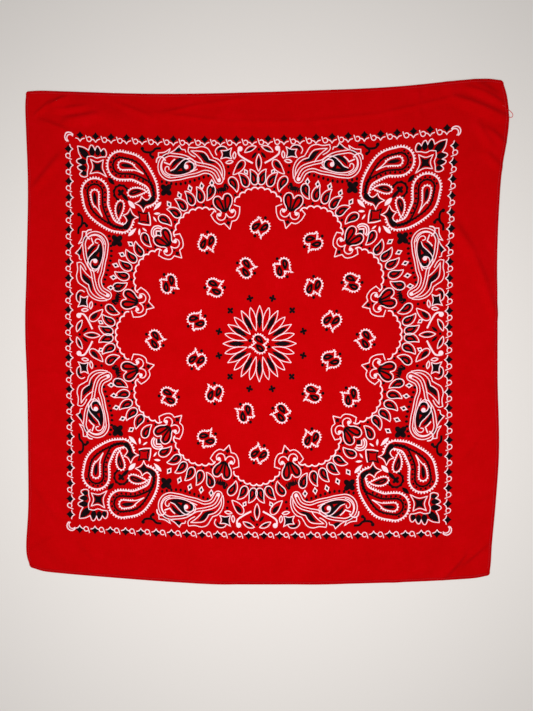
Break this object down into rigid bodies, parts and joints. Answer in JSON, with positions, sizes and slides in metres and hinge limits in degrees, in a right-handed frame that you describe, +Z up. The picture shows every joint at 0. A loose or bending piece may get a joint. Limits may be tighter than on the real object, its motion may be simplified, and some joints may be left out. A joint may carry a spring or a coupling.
{
  "type": "bandana",
  "caption": "Square printed cotton bandana laid flat, with a narrow turned hem along each edge and soft creases at its corners.",
  "frame": {"origin": "centre of the bounding box on the surface that the cloth lies on", "axes": "+Z up out of the printed face, +X to the cloth's right edge and +Y to its top edge"},
  "size_m": [0.5598, 0.5858, 0.0036],
  "materials": {
    "printed_cotton": "plain woven cotton, printed",
    "hem_cotton": "plain woven cotton, turned and stitched"
  },
  "bodies": {
    "root": {"cloth_panel": "printed_cotton", "hem_top": "hem_cotton", "hem_bottom": "hem_cotton", "hem_left": "hem_cotton", "hem_right": "hem_cotton"}
  },
  "joints": []
}
